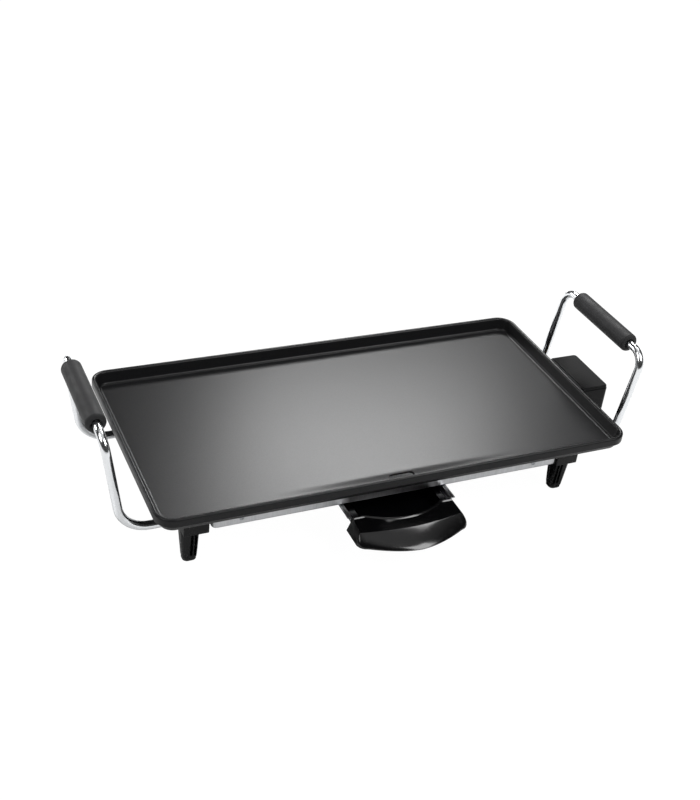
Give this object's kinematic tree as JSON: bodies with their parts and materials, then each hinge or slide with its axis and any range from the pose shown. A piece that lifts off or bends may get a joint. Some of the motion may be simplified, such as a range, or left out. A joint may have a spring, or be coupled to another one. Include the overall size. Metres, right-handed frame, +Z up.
{
  "type": "electric griddle",
  "caption": "Rectangular electric table griddle: shallow rimmed non-stick plate, chromed wire carrying handles, moulded feet, heat shield, pull-out drip tray and a control box at one end.",
  "frame": {"origin": "on the worktop, under the middle of the object's overall box", "axes": "+X along the cooking plate towards the control box, -Y towards the front where the drip tray pulls out, +Z up"},
  "size_m": [0.6186, 0.31, 0.1675],
  "materials": {
    "non_stick": "cast, with a fine-grained satin non-stick coating",
    "bright_sheet": "brushed sheet",
    "chrome": "bright chrome plating",
    "steel": "zinc-plated",
    "element_sheath": "heat-darkened steel tube",
    "tin_plate": "tinned",
    "brass": "satin",
    "enamel": "gloss black enamel",
    "gloss_black": "polished",
    "matt_black": "satin moulded",
    "grip_rubber": "soft matt",
    "pad_rubber": "matt",
    "ceramic": "unglazed",
    "amber": "clear tinted"
  },
  "bodies": {
    "root": {"cooking_plate": "non_stick", "heat_shield": "bright_sheet", "shield_screw_1": "steel", "shield_screw_2": "steel", "shield_screw_3": "steel", "shield_screw_4": "steel", "shield_rivet_left": "steel", "shield_rivet_right": "steel", "foot_front_left": "matt_black", "foot_pad_front_left": "pad_rubber", "foot_screw_front_left": "steel", "foot_front_right": "matt_black", "foot_pad_front_right": "pad_rubber", "foot_screw_front_right": "steel", "foot_back_left": "matt_black", "foot_pad_back_left": "pad_rubber", "foot_screw_back_left": "steel", "foot_back_right": "matt_black", "foot_pad_back_right": "pad_rubber", "foot_screw_back_right": "steel", "handle_rod_left": "chrome", "grip_left": "grip_rubber", "tray_rail_left": "bright_sheet", "handle_rod_right": "chrome", "grip_right": "grip_rubber", "tray_rail_right": "bright_sheet", "heating_element": "element_sheath", "element_terminal_a": "tin_plate", "element_terminal_b": "tin_plate", "element_clip_front_left": "bright_sheet", "element_clip_front_right": "bright_sheet", "element_clip_back_left": "bright_sheet", "element_clip_back_right": "bright_sheet", "control_box_cover": "matt_black", "control_box_base": "matt_black", "neck_screw_front": "steel", "box_screw_front": "steel", "neck_screw_back": "steel", "box_screw_back": "steel", "thermostat_body": "ceramic", "thermostat_bulb": "brass", "pilot_lamp_lens": "amber", "inlet_housing": "matt_black", "inlet_pin_line": "brass", "inlet_pin_neutral": "brass", "inlet_pin_earth": "brass"},
    "tray": {"drip_tray": "enamel", "tray_handle": "gloss_black", "tray_screw_left": "steel", "tray_screw_right": "steel"},
    "dial": {"temperature_dial": "gloss_black", "thermostat_shaft": "brass"}
  },
  "joints": [
    {"name": "tray_slide", "type": "slide", "parent": "root", "child": "tray", "axis": [0, -1, 0], "range_m": [0, 0.12]},
    {"name": "dial_turn", "type": "hinge", "parent": "root", "child": "dial", "pos_m": [0.3012, 0.017, 0.062], "axis": [-1, 0, 0], "range_deg": [0, 270]}
  ]
}
